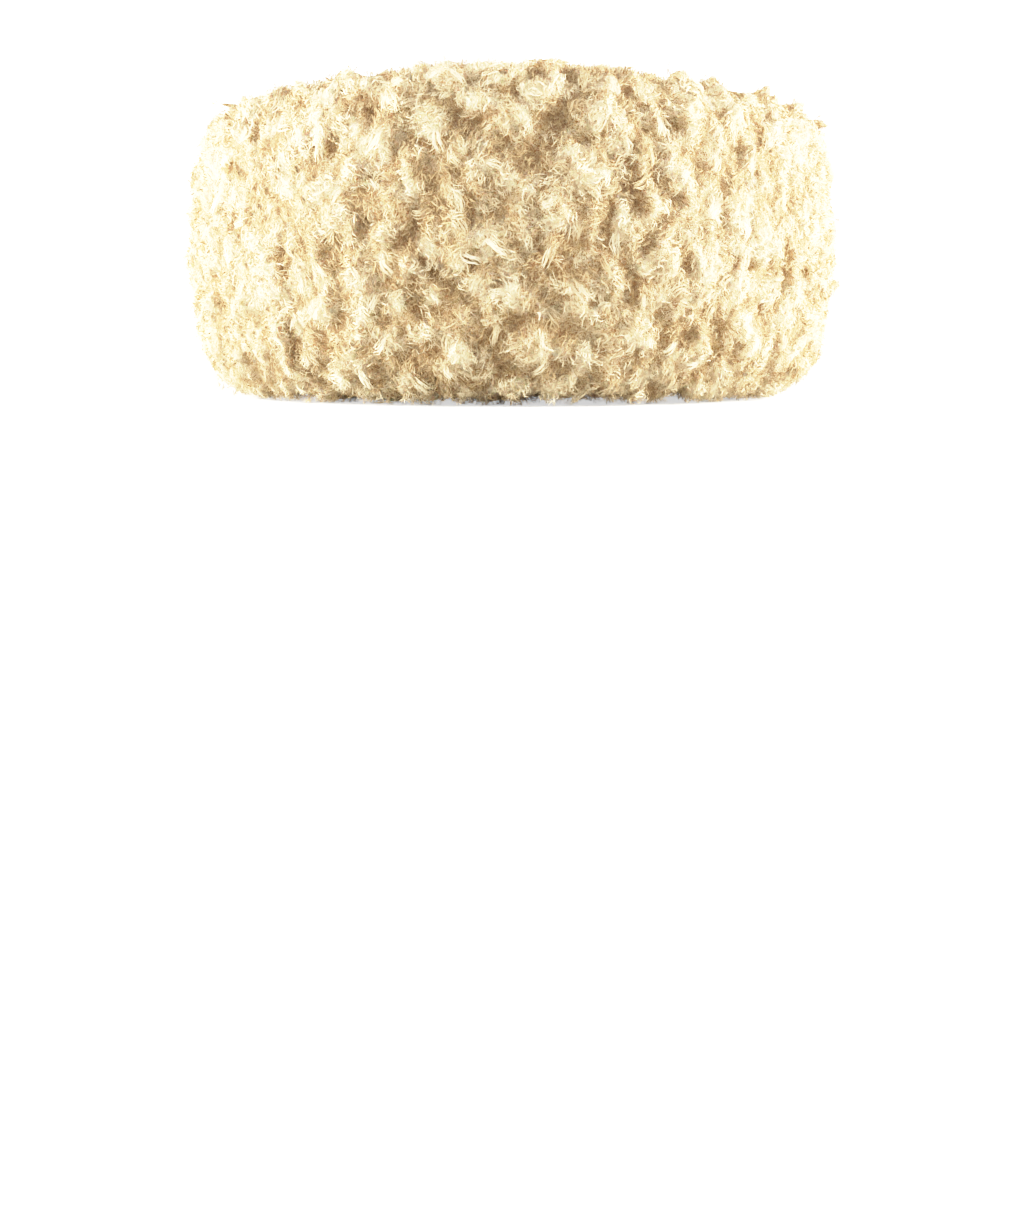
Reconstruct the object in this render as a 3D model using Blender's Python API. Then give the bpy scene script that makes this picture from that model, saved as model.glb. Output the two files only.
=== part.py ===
"""Curly pile hat: a soft round crown inside a deep turned-up cuff, all in thick wool pile.

Metres, +Z up, the wearer's brow towards -Y. The origin is the middle of the hat on the surface it rests on.
The head opening is an oval. Everything else is placed by its distance outwards from that oval.
"""

import math

import bmesh
import bpy
import numpy as np
from mathutils.geometry import delaunay_2d_cdt

# Head opening
HEAD_WIDTH = 0.160  # ear to ear
HEAD_LENGTH = 0.196  # brow to nape

# Pile cloth: a skin with wool on it
SKIN = 0.002
CROWN_PILE = 0.012  # depth of the wool on the crown's wall and tip
FIT = 0.0003  # gap between pieces that lie against each other

# Cuff: a pile band folded double, turned up from the roll under the crown's wall
CUFF_THICKNESS = 0.030
CUFF_HEIGHT = 0.102
ROLL_HEIGHT = 0.014  # the part of the roll that lies under the crown's wall
CUFF_BULGE = 0.003  # how far the outer face swells at half height
PILE_REACH = 0.016  # how far the curls run down behind the cuff's top edge

# Crown: an upright wall and a domed tip on it
CROWN_WALL_TOP = 0.086
TIP_RISE = 0.028  # from the wall's top to the top of the dome
TIP_CURVE = 2.6  # exponent of the crown's rounding: 2 is an ellipse, more is squarer
TIP_EDGE = 0.90  # share of the tip's radius where the rounded edge becomes the flatter top

# Curls
CURL_SPACING = 0.007  # from the tip of a curl to the hollow beside it
CURL_DEPTH = 0.0045
CURL_SWAY = 0.0016  # how far a curl leans along the surface
CURL_SEED = 11

# How the cuff's section is rounded: shares of the stretch across and of the stretch up
ROUNDING = {
    # corner: (across, up)
    "roll_inside": (0.23, 0.72),  # of the whole roll's width, and of ROLL_HEIGHT
    "roll_outside": (0.47, 0.21),  # of the whole roll's width, and of CUFF_HEIGHT
    "top_outside": (0.72, 0.27),  # of CUFF_THICKNESS, and of CUFF_HEIGHT
    "top_inside": (0.24, 0.09),  # of CUFF_THICKNESS, and of CUFF_HEIGHT
}
ARC_POINTS = 8

PILE_COLOUR, PILE_ROUGHNESS = (0.78, 0.66, 0.47), 0.95
SKIN_COLOUR, SKIN_ROUGHNESS = (0.62, 0.50, 0.36), 0.85
SMOOTH_UNDER = math.radians(20)  # edges that turn by less are shaded smooth

WALL_THICKNESS = SKIN + CROWN_PILE
CUFF_INSIDE = WALL_THICKNESS + FIT
CUFF_OUTSIDE = CUFF_INSIDE + CUFF_THICKNESS


def oval(distance, angles):
    """Points (x, y) at this distance outwards from the head opening, one for each angle."""
    across, along = HEAD_WIDTH / 2, HEAD_LENGTH / 2
    on_oval = np.stack([across * np.cos(angles), along * np.sin(angles)], 1)
    outwards = np.stack([along * np.cos(angles), across * np.sin(angles)], 1)
    outwards /= np.linalg.norm(outwards, axis=1, keepdims=True)
    return on_oval + distance * outwards


def even_angles():
    """The angles of the columns of curls, spaced evenly round the cuff's outer face."""
    fine = np.linspace(0, 2 * math.pi, 2001)
    steps = np.linalg.norm(np.diff(oval(CUFF_OUTSIDE, fine), axis=0), axis=1)
    length = np.concatenate([[0], np.cumsum(steps)])
    pairs = round(length[-1] / (2 * CURL_SPACING))
    return np.interp(np.linspace(0, length[-1], 2 * pairs, endpoint=False), length, fine)


def quarter(start, end, rises_first):
    """A quarter of an ellipse from start to end, in (distance, height)."""
    turn = np.linspace(0, math.pi / 2, ARC_POINTS)
    slow, fast = 1 - np.cos(turn), np.sin(turn)
    across, up = (slow, fast) if rises_first else (fast, slow)
    (a0, z0), (a1, z1) = start, end
    return np.stack([a0 + (a1 - a0) * across, z0 + (z1 - z0) * up], 1)


def evenly(line, spacing):
    """The line's points spaced again, as near to spacing as divides it evenly."""
    length = np.concatenate([[0], np.cumsum(np.linalg.norm(np.diff(line, axis=0), axis=1))])
    at = np.linspace(0, length[-1], max(1, round(length[-1] / spacing)) + 1)
    return np.stack([np.interp(at, length, line[:, k]) for k in range(2)], 1)


def cuff_section():
    """The cuff's outline in (distance, height), closed, and which of its points carry curls."""
    share = {corner: np.array(pair) for corner, pair in ROUNDING.items()}
    inside = share["roll_inside"] * (CUFF_OUTSIDE, ROLL_HEIGHT)
    outside = share["roll_outside"] * (CUFF_OUTSIDE, CUFF_HEIGHT)
    crest = share["top_outside"] * (CUFF_THICKNESS, CUFF_HEIGHT)
    lip = share["top_inside"] * (CUFF_THICKNESS, CUFF_HEIGHT)

    face_low, face_high = outside[1], CUFF_HEIGHT - crest[1]
    face_z = np.linspace(face_low, face_high, ARC_POINTS)
    swell = np.sin(math.pi * (face_z - face_low) / (face_high - face_low))
    face_at = CUFF_OUTSIDE - CUFF_BULGE
    face = np.stack([face_at + CUFF_BULGE * swell, face_z], 1)

    under_crown = np.vstack(
        [[(0, ROLL_HEIGHT)], quarter((0, inside[1]), (inside[0], 0), True)]
    )
    over_cuff = np.vstack(
        [
            quarter((CUFF_OUTSIDE - outside[0], 0), (face_at, face_low), False),
            face[1:-1],
            quarter((face_at, face_high), (CUFF_OUTSIDE - crest[0], CUFF_HEIGHT), True),
            quarter(
                (CUFF_INSIDE + lip[0], CUFF_HEIGHT), (CUFF_INSIDE, CUFF_HEIGHT - lip[1]), False
            ),
            [(CUFF_INSIDE, CUFF_HEIGHT - PILE_REACH)],
        ]
    )
    roll = evenly(under_crown, CURL_SPACING)
    shown = evenly(over_cuff, CURL_SPACING)
    outline = np.vstack([roll, shown, [(CUFF_INSIDE, ROLL_HEIGHT)]])
    curly = np.zeros(len(outline), bool)
    curly[1 : len(roll) - 1] = True
    curly[len(roll) + 1 : len(roll) + len(shown) - 1] = True
    return outline, curly


def outward(grid, closed):
    """The surface's normals on a grid of rows and columns, by its neighbours. Columns always close."""
    rows = np.roll(grid, -1, 0) - np.roll(grid, 1, 0)
    if not closed:
        rows[0], rows[-1] = grid[1] - grid[0], grid[-1] - grid[-2]
    columns = np.roll(grid, -1, 1) - np.roll(grid, 1, 1)
    normal = np.cross(columns, rows)
    return normal / np.linalg.norm(normal, axis=2, keepdims=True), rows, columns


def unit(vectors):
    return vectors / np.maximum(np.linalg.norm(vectors, axis=-1, keepdims=True), 1e-9)


def curled(grid, curly, closed, random):
    """The grid with a curl at every other point of the curly rows and a hollow between them."""
    normal, up, round_hat = outward(grid, closed)
    row, column = np.indices(grid.shape[:2])
    is_tip = (row + column) % 2 == 0
    sunk = np.where(is_tip, random.uniform(0, 0.45, is_tip.shape), 1.0) * CURL_DEPTH
    lean = random.uniform(-1, 1, (2, *is_tip.shape)) * CURL_SWAY * is_tip
    moved = grid - normal * sunk[..., None]
    moved += unit(up) * lean[0][..., None] + unit(round_hat) * lean[1][..., None]
    moved[..., 2] = np.maximum(moved[..., 2], 0)  # the roll is pressed flat where it rests
    return np.where(curly[:, None, None], moved, grid)


def grid_faces(first, rows, columns, closed):
    """Triangles between the rows of a grid whose points start at first.

    Each cell is split from hollow to hollow, so every curl stands alone as a small peak.
    """
    faces = []
    for r in range(rows if closed else rows - 1):
        low, high = first + r * columns, first + (r + 1) % rows * columns
        for c in range(columns):
            d = (c + 1) % columns
            a, b, e, f = low + c, low + d, high + d, high + c
            if (r + c) % 2 == 0:
                faces += [(a, b, f), (b, e, f)]
            else:
                faces += [(a, b, e), (a, e, f)]
    return faces


def solid(name, points, faces, colour, roughness):
    """A closed mesh object with its own material and its faces pointing out."""
    mesh = bpy.data.meshes.new(name)
    mesh.from_pydata([tuple(map(float, p)) for p in points], [], faces)
    shape = bmesh.new()
    shape.from_mesh(mesh)
    bmesh.ops.recalc_face_normals(shape, faces=shape.faces)
    shape.to_mesh(mesh)
    shape.free()
    mesh.shade_smooth()
    mesh.set_sharp_from_angle(angle=SMOOTH_UNDER)
    material = bpy.data.materials.new(name)
    material.use_nodes = True
    shader = material.node_tree.nodes["Principled BSDF"]
    shader.inputs["Base Color"].default_value = (*colour, 1)
    shader.inputs["Roughness"].default_value = roughness
    shader.inputs["Metallic"].default_value = 0
    mesh.materials.append(material)
    part = bpy.data.objects.new(name, mesh)
    bpy.context.scene.collection.objects.link(part)
    return part


def ring_of(section, angles):
    """The section swept round the head opening, as rows of 3-D points."""
    return np.stack(
        [np.column_stack([oval(d, angles), np.full(len(angles), z)]) for d, z in section]
    )


def make_cuff(angles, random):
    """The turned-up band and the roll under it, with the curls that show."""
    section, curly = cuff_section()
    grid = curled(ring_of(section, angles), curly, True, random)
    faces = grid_faces(0, len(section), len(angles), True)
    return solid("cuff", grid.reshape(-1, 3), faces, PILE_COLOUR, PILE_ROUGHNESS)


def make_crown_wall(angles):
    """The upright wall behind the cuff, from the roll to the tip, skin side towards the head."""
    low, high = ROLL_HEIGHT + FIT, CROWN_WALL_TOP
    section = [(0, low), (WALL_THICKNESS, low), (WALL_THICKNESS, high), (0, high)]
    grid = ring_of(section, angles)
    faces = grid_faces(0, len(section), len(angles), True)
    return solid("crown_wall", grid.reshape(-1, 3), faces, SKIN_COLOUR, SKIN_ROUGHNESS)


def dome(share, rise):
    """Height over the tip's seat at this share of its radius."""
    return rise * (1 - np.clip(share, 0, 1) ** TIP_CURVE) ** (1 / TIP_CURVE)


def tip_lattice(rim):
    """Points inside the rim, half of them curls and half hollows, and each one's share of the rim's radius."""
    reach = rim.max(0)
    steps = np.ceil(reach / CURL_SPACING).astype(int)
    column, row = np.meshgrid(
        np.arange(-steps[0], steps[0] + 1), np.arange(-steps[1], steps[1] + 1)
    )
    flat = np.stack([column.ravel(), row.ravel()], 1) * CURL_SPACING
    share = np.hypot(*(flat / reach).T)
    kept = share < 1 - CURL_SPACING / (2 * reach.min())
    is_tip = ((column + row) % 2 == 0).ravel()
    return flat[kept], is_tip[kept], share[kept]


def make_crown_tip(angles, random):
    """The domed oval on top of the wall: curls above, skin below."""
    seat, rise = CROWN_WALL_TOP + FIT, TIP_RISE
    rim, mouth = oval(WALL_THICKNESS, angles), oval(0, angles)

    # the rounded edge, in rings from the seat up to where the top is flatter
    fine = np.linspace(1, TIP_EDGE, 60)
    edge = evenly(np.stack([fine * rim[0, 0], dome(fine, rise)], 1), CURL_SPACING)
    shares = edge[:, 0] / rim[0, 0]
    rings = np.stack(
        [np.column_stack([rim * s, np.full(len(rim), seat + dome(s, rise))]) for s in shares]
    )
    curly = np.ones(len(shares), bool)
    curly[[0, -1]] = False
    rings = curled(rings, curly, False, random)

    # the flatter top, in triangles between the last ring and a lattice of curls and hollows
    flat, is_tip, share = tip_lattice(rim * TIP_EDGE)
    last = rings[-1]
    drawn = [tuple(p) for p in last[:, :2]] + [tuple(p) for p in flat]
    loop = [(c, (c + 1) % len(last)) for c in range(len(last))]
    corners, _, triangles, *_ = delaunay_2d_cdt(drawn, loop, [], 0, 1e-6)
    sunk = np.where(is_tip, random.uniform(0, 0.45, len(is_tip)), 1.0) * CURL_DEPTH
    heights = seat + dome(share * TIP_EDGE, rise) - sunk
    top = [(x, y, z) for (x, y), z in zip(corners[len(last) :], heights)]

    # the skin side, from the seat's inner edge to the middle
    hollow = rise - WALL_THICKNESS
    below = [
        np.column_stack([mouth * s, np.full(len(mouth), seat + dome(s, hollow))])
        for s in (1.0, 0.93, 0.72, 0.38)
    ]
    columns = len(angles)
    points = np.vstack([rings.reshape(-1, 3), top, *below, [(0, 0, seat + hollow)]])
    faces = grid_faces(0, len(rings), columns, False)
    start = (len(rings) - 1) * columns
    faces += [tuple(start + corner for corner in t) for t in triangles]
    under = len(rings) * columns + len(top)
    faces += grid_faces(under, len(below), columns, False)
    middle = len(points) - 1
    innermost = middle - columns
    for c in range(columns):
        d = (c + 1) % columns
        faces.append((c, d, under + d, under + c))
        faces.append((innermost + c, innermost + d, middle))
    return solid("crown_tip", points, faces, PILE_COLOUR, PILE_ROUGHNESS)


def main():
    for old in list(bpy.data.objects):
        bpy.data.objects.remove(old)
    random = np.random.default_rng(CURL_SEED)
    angles = even_angles()
    make_cuff(angles, random)
    make_crown_wall(angles)
    make_crown_tip(angles, random)


main()
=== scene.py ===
"""Curly pile hat: the looks. A deep turned-up cuff and a low crown, all in cream wool pile.

Sizes are in metres and turns in radians.
"""

import math

import bmesh
import bpy
import mathutils
import numpy as np
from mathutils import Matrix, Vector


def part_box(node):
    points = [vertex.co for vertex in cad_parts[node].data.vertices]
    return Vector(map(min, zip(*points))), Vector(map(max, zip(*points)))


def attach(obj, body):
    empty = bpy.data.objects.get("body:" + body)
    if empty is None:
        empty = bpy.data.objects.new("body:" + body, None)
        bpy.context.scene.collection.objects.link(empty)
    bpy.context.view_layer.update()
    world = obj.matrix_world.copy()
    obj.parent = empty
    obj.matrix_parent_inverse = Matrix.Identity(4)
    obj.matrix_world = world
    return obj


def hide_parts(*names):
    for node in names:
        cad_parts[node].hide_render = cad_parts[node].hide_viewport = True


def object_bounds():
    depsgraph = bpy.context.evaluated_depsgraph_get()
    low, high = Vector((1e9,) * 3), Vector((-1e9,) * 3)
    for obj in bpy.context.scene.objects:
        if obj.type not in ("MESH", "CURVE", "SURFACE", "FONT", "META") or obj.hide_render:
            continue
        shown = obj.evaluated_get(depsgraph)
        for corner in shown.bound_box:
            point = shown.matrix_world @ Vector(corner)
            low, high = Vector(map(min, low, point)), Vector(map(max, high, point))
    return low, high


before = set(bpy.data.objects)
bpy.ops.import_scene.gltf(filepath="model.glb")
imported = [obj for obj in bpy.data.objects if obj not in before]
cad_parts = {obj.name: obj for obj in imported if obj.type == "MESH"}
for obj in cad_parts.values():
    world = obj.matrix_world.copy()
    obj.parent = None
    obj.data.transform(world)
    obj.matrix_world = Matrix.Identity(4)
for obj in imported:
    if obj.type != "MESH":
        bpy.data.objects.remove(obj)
cad_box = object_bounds()
FLOOR = float(cad_box[0][2]) + 0.0003  # the pile is pressed flat here


# The ground of the cuff's pile: dense, felted wool standing about 12 mm deep on its skin. Wear and damp
# have drawn it into rounded lumps with creases between them, and into locks that cling to it: commas, hooks
# and S shapes, brushed downwards and then left to swirl. It is cream, and painted shade makes it tan deep in
# the creases and towards the locks' roots.
FORM_GRAIN = 0.0028  # size of the cells that the smooth form is built from
WELD = 0.00002  # points of a solid that are nearer to each other than this become one
CUFF_EASING = 12  # rounds of smoothing, which melt the solid's own curls into the smooth form
GROUND_GRAIN = 0.0017  # size of the cells that lumps and locks are fused in
GROUND_EASING = 2
GROUND_DEPTH = 0.0050  # how far the creases lie under the smooth form
CUFF_OUTWARD = 0.4  # how far the wool leans out from the hat's middle for each unit that it falls

LUMP_SPACING = 0.0070
LUMP_STRETCH = 1.4  # how much longer a lump is than wide, up and down
LUMP_HEIGHT = 0.0025
LUMP_REACH = 0.72  # how far a lump runs out from its middle, in spacings
LUMP_ROUNDNESS = 0.35
LUMP_BEND = 0.014  # how far the pattern of lumps is pulled crooked
LUMP_BEND_SCALE = 75
COMBED_HEIGHT = 0.014  # below this the wool lies straighter, smoother and paler, combed by wear
COMBED_RISE = 0.4  # how much of their height the lumps keep at the very bottom
COMBED_PALENESS = 0.05
SWIRL = 5.0  # the whole range of turns that the wool makes over the surface
SWIRL_SCALE = 60

LOCK_SPACING = 0.0037
LOCK_KINDS = 18
LOCK_SEED = 3
LOCK_LENGTH = 0.0075, 0.0115
LOCK_LIFT = 0.0016, 0.0034  # how high its middle line rises
LOCK_BEND = 2.8  # how far its tip may turn
LOCK_HALF_WIDTH = 0.0010, 0.0015
LOCK_FLATNESS = 0.85  # how thick it is for its width
LOCK_ROUGHNESS = 0.00025
ROOT_DEPTH = 0.001  # how deep a lock or a hair is rooted
PATH_STEPS = 61  # how finely its course is added up
ROOTS_TRIED = 6.0  # how many places are tried in each square of the spacing

# the darkest colour is mostly painted shade, for the creases and the locks' roots
GROUND_COLOURS = (0.30, 0.155, 0.06, 1), (0.66, 0.48, 0.28, 1), (0.95, 0.81, 0.58, 1)
GROUND_TONES = 0.05, 0.45, 0.9  # the tones that have these colours
FIBRE_SCALES = 700, 950
FIBRE_SHARPNESS = 11.0
FIBRE_CONTRAST = 0.85
FIBRE_RELIEF = 0.0004
LUMP_TONE = 0.45
PATCH_SCALE = 90  # of the slow changes in tone from place to place
PATCH_CONTRAST = 0.15
BASE_TONE = -0.31  # what the three shares below are added to
TONE_BY_LOCK = 0.75  # how much the lock's own tone counts
CREASE_SHADE_BY_HEIGHT = 0.80  # painted shade in the creases: how much paler it gets from their depth up to the smooth form
ROOT_SHADE_BY_LENGTH = 0.60  # painted shade in the deep pile: how much paler a lock is at its tip than at its root
PALEST_HEIGHT = 0.7  # the share of that way above which it gets no paler

FACING = 0.2  # a face looks in, up or down if its normal leans that way by more than this


def add(tree, kind, inputs=None, **settings):
    """A new node of this kind, with its settings made and its inputs filled in or linked."""
    made = tree.nodes.new(kind)
    for name, value in settings.items():
        setattr(made, name, value)
    for name, value in (inputs or {}).items():
        if isinstance(value, bpy.types.NodeSocket):
            tree.links.new(value, made.inputs[name])
        else:
            made.inputs[name].default_value = value
    return made


def maths(tree, operation, *values):
    """The result of a Math node."""
    return add(tree, "ShaderNodeMath", dict(enumerate(values)), operation=operation).outputs[0]


def vectors(tree, operation, *values, **named):
    """The result of a Vector Math node."""
    inputs = {**dict(enumerate(values)), **named}
    made = add(tree, "ShaderNodeVectorMath", inputs, operation=operation)
    return made.outputs["Value" if operation == "DOT_PRODUCT" else "Vector"]


def noise(tree, place, scale, detail, **inputs):
    """A noise over places at this scale: its value, which is round 0.5, and its colour."""
    inputs = {"Vector": place, "Scale": scale, "Detail": detail, **inputs}
    return add(tree, "ShaderNodeTexNoise", inputs).outputs


def ramp(tree, factor, *stops):
    """The colour at a factor, blended smoothly between (place, colour) stops."""
    made = add(tree, "ShaderNodeValToRGB", {"Fac": factor})
    made.color_ramp.interpolation = "EASE"
    band = made.color_ramp.elements
    while len(band) < len(stops):
        band.new(0.5)
    for element, (place, colour) in zip(band, stops):
        element.position, element.color = place, colour
    return made.outputs["Color"]


def new_material(name, roughness, sheen):
    """A matte material with nothing joined to it yet: the material, its tree and its shader."""
    made = bpy.data.materials.new(name)
    made.use_nodes = True
    shader = made.node_tree.nodes["Principled BSDF"]
    shader.inputs["Roughness"].default_value = roughness
    shader.inputs["Specular IOR Level"].default_value = 0.15
    shader.inputs["Sheen Weight"].default_value = sheen
    shader.inputs["Sheen Roughness"].default_value = 0.6
    shader.inputs["Sheen Tint"].default_value = (1, 0.95, 0.84, 1)
    return made, made.node_tree, shader


def fibres(tree, place, scale, start):
    """A net of fine crooked fibres: 1 along each, 0 in the gaps between them."""
    shifted = vectors(tree, "ADD", place, (start, 0, 0))
    wave = noise(tree, shifted, scale, 1, Distortion=1.5)[0]
    off = maths(tree, "ABSOLUTE", maths(tree, "SUBTRACT", wave, 0.5))
    return maths(tree, "MAXIMUM", maths(tree, "MULTIPLY_ADD", off, -FIBRE_SHARPNESS, 1.0), 0.0)


def ground_material():
    """Felted wool: its tone, painted shade included, comes from the surface, under a net of fine crossing
    fibres.
    """
    made, tree, shader = new_material("wool_ground", 0.95, 0.25)
    shader.inputs["Subsurface Weight"].default_value = 0.3
    shader.inputs["Subsurface Radius"].default_value = (1.0, 0.55, 0.30)
    shader.inputs["Subsurface Scale"].default_value = 0.003
    place = add(tree, "ShaderNodeTexCoord").outputs["Object"]
    tone = add(tree, "ShaderNodeAttribute", attribute_name="tone").outputs["Fac"]
    nets = [fibres(tree, place, scale, start) for scale, start in zip(FIBRE_SCALES, (0.0, 0.7))]
    net = maths(tree, "MAXIMUM", *nets)
    mixed = maths(tree, "MULTIPLY_ADD", maths(tree, "SUBTRACT", net, 0.5), FIBRE_CONTRAST, tone)
    colour = ramp(tree, mixed, *zip(GROUND_TONES, GROUND_COLOURS))
    tree.links.new(colour, shader.inputs["Base Color"])
    bump = add(tree, "ShaderNodeBump", {"Height": net, "Strength": 1.0, "Distance": FIBRE_RELIEF})
    tree.links.new(bump.outputs["Normal"], shader.inputs["Normal"])
    return made


def new_tree(name, inputs):
    """A Geometry Nodes tree with a geometry in and out and these other inputs, and its inputs as given."""
    tree = bpy.data.node_groups.new(name, "GeometryNodeTree")
    face = tree.interface
    face.new_socket("Geometry", in_out="INPUT", socket_type="NodeSocketGeometry")
    for label, kind in inputs.items():
        face.new_socket(label, in_out="INPUT", socket_type="NodeSocket" + kind)
    face.new_socket("Geometry", in_out="OUTPUT", socket_type="NodeSocketGeometry")
    return tree, add(tree, "NodeGroupInput").outputs


def named(tree, name, data_type="FLOAT"):
    """Geometry Nodes: an attribute, by its name."""
    return add(tree, "GeometryNodeInputNamedAttribute", {"Name": name}, data_type=data_type).outputs[0]


def marked(tree, geometry, name, value, data_type="FLOAT", domain="POINT"):
    """Geometry Nodes: the geometry with a value kept on it under a name."""
    inputs = {"Geometry": geometry, "Name": name, "Value": value}
    made = add(tree, "GeometryNodeStoreNamedAttribute", inputs, data_type=data_type, domain=domain)
    return made.outputs[0]


def random_between(tree, low, high, seed):
    """Geometry Nodes: a random number for each point or instance."""
    inputs = {2: low, 3: high, "Seed": seed}
    return add(tree, "FunctionNodeRandomValue", inputs, data_type="FLOAT").outputs[1]


def between(tree, value, low, high):
    """A value kept between a low and a high one."""
    return maths(tree, "MINIMUM", maths(tree, "MAXIMUM", value, low), high)


def pressed_flat(tree, geometry, floor):
    """Geometry Nodes: the pile pressed flat where the hat rests on the floor."""
    split = add(tree, "ShaderNodeSeparateXYZ", {0: add(tree, "GeometryNodeInputPosition").outputs[0]})
    x, y, z = split.outputs
    pressed = add(tree, "ShaderNodeCombineXYZ", {0: x, 1: y, 2: maths(tree, "MAXIMUM", z, floor)})
    moved = {"Geometry": geometry, "Position": pressed.outputs[0]}
    return add(tree, "GeometryNodeSetPosition", moved).outputs[0]


def turned_about(tree, vector, axis, angle):
    """A vector turned round an axis."""
    inputs = {"Vector": vector, "Axis": axis, "Angle": angle}
    return add(tree, "ShaderNodeVectorRotate", inputs, rotation_type="AXIS_ANGLE").outputs[0]


def lump_tree():
    """Geometry Nodes: sinks a form by Depth where it is marked as sunk and raises crooked lumps there.

    It marks the surface with its tone, 0 for tan and 1 for cream, and with the lie of its wool.
    """
    inputs = ["Depth", "Lump Spacing", "Lump Stretch", "Lump Height"]
    inputs += ["Outward", "Swirl", "Floor", "Combed Height"]
    tree, given = new_tree("Wool lumps", dict.fromkeys(inputs, "Float"))
    place = add(tree, "GeometryNodeInputPosition").outputs[0]
    normal = add(tree, "GeometryNodeInputNormal").outputs[0]
    blurred = {"Value": named(tree, "sunk"), "Iterations": 3}
    sunk = add(tree, "GeometryNodeBlurAttribute", blurred).outputs[0]

    height = add(tree, "ShaderNodeSeparateXYZ", {0: place}).outputs[2]
    height = maths(tree, "SUBTRACT", height, given["Floor"])
    free = between(tree, maths(tree, "DIVIDE", height, given["Combed Height"]), 0.0, 1.0)

    # space bent by a slow noise and squeezed upright, so that the cells become long and crooked
    bend = vectors(tree, "SUBTRACT", noise(tree, place, LUMP_BEND_SCALE, 1)[1], (0.5, 0.5, 0.5))
    bent = vectors(tree, "ADD", place, vectors(tree, "SCALE", bend, Scale=LUMP_BEND))
    upright = maths(tree, "DIVIDE", 1.0, given["Lump Stretch"])
    squeeze = add(tree, "ShaderNodeCombineXYZ", {0: 1.0, 1: 1.0, 2: upright}).outputs[0]
    bent = vectors(tree, "MULTIPLY", bent, squeeze)
    crowd = maths(tree, "DIVIDE", 1.0, given["Lump Spacing"])
    inputs = {"Vector": bent, "Scale": crowd, "Smoothness": LUMP_ROUNDNESS}
    cells = add(tree, "ShaderNodeTexVoronoi", inputs, feature="SMOOTH_F1").outputs["Distance"]
    rise = maths(tree, "SUBTRACT", 1.0, maths(tree, "DIVIDE", cells, LUMP_REACH))
    kept = maths(tree, "MULTIPLY_ADD", free, 1 - COMBED_RISE, COMBED_RISE)
    rise = maths(tree, "MULTIPLY", rise, kept)
    lift = maths(tree, "SUBTRACT", maths(tree, "MULTIPLY", rise, given["Lump Height"]), given["Depth"])
    offset = vectors(tree, "SCALE", normal, Scale=maths(tree, "MULTIPLY", lift, sunk))

    patch = maths(tree, "SUBTRACT", noise(tree, place, PATCH_SCALE, 2)[0], 0.5)
    tone = maths(tree, "MULTIPLY_ADD", patch, PATCH_CONTRAST, LUMP_TONE)
    tone = maths(tree, "MULTIPLY_ADD", free, -COMBED_PALENESS, tone)
    marks = marked(tree, given["Geometry"], "tone", tone)

    out = vectors(tree, "NORMALIZE", vectors(tree, "MULTIPLY", place, (1, 1, 0)))
    fall = vectors(tree, "ADD", vectors(tree, "SCALE", out, Scale=given["Outward"]), (0, 0, -1))
    swirl = maths(tree, "SUBTRACT", noise(tree, place, SWIRL_SCALE, 1)[0], 0.5)
    swirl = maths(tree, "MULTIPLY", swirl, given["Swirl"])
    swirl = maths(tree, "MULTIPLY", swirl, free)
    marks = marked(tree, marks, "lie", turned_about(tree, fall, normal, swirl), "FLOAT_VECTOR")

    moved = add(tree, "GeometryNodeSetPosition", {"Geometry": marks, "Offset": offset}).outputs[0]
    add(tree, "NodeGroupOutput", {"Geometry": pressed_flat(tree, moved, given["Floor"])})
    return tree


def laid(tree, normal, given):
    """Geometry Nodes: the turn of each lock or tuft, standing on the surface along the lie of its wool."""
    minus = maths(tree, "MULTIPLY", given["Stray"], -1.0)
    angle = random_between(tree, minus, given["Stray"], given["Seed"])
    lie = turned_about(tree, named(tree, "lie", "FLOAT_VECTOR"), normal, angle)
    stand = add(tree, "FunctionNodeAlignRotationToVector", {"Vector": normal}, axis="Z").outputs[0]
    along = {"Rotation": stand, "Vector": lie}
    facing = add(tree, "FunctionNodeAlignRotationToVector", along, axis="Y", pivot_axis="Z").outputs[0]
    minus = maths(tree, "MULTIPLY", given["Tilt"], -1.0)
    lean = [random_between(tree, minus, given["Tilt"], seed) for seed in (1, 2)]
    lean = add(tree, "ShaderNodeCombineXYZ", dict(enumerate(lean))).outputs[0]
    lean = add(tree, "FunctionNodeEulerToRotation", {0: lean}).outputs[0]
    leaning = {"Rotation": facing, "Rotate By": lean}
    return add(tree, "FunctionNodeRotateRotation", leaning, rotation_space="LOCAL").outputs[0]


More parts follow.
